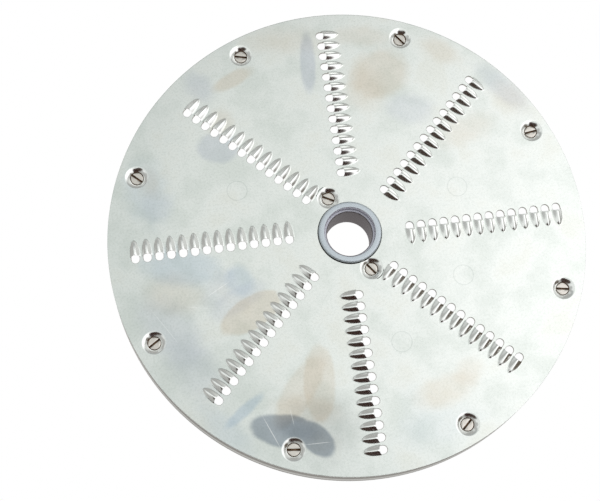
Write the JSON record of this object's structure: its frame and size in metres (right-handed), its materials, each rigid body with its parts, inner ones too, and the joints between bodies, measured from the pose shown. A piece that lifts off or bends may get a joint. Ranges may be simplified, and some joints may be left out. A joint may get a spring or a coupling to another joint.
{
  "type": "grating disc",
  "caption": "Round grating disc of a vegetable cutter: steel sheet with radial rows of raised scoop teeth, screwed to a spoked cast wheel with a bored hub.",
  "frame": {"origin": "centre of the drive bore on the lower face of the hub, the lowest plane of the disc", "axes": "+Z along the bore axis from the hub's foot towards the teeth, against the way the shaft leaves, +X along the row of teeth that is to the right in the picture"},
  "size_m": [0.2066, 0.2066, 0.0195],
  "materials": {
    "sheet_steel": "stainless sheet with a satin, faintly stained face and glossy pressed teeth",
    "cast_aluminium": "plain cast aluminium, dull blue-grey, finer on the turned collar and bore",
    "screw_steel": "turned steel screw heads, browned in the slots and gaps"
  },
  "bodies": {
    "root": {"grating_sheet": "sheet_steel", "carrier_wheel": "cast_aluminium", "sheet_screws": "screw_steel"}
  },
  "joints": []
}
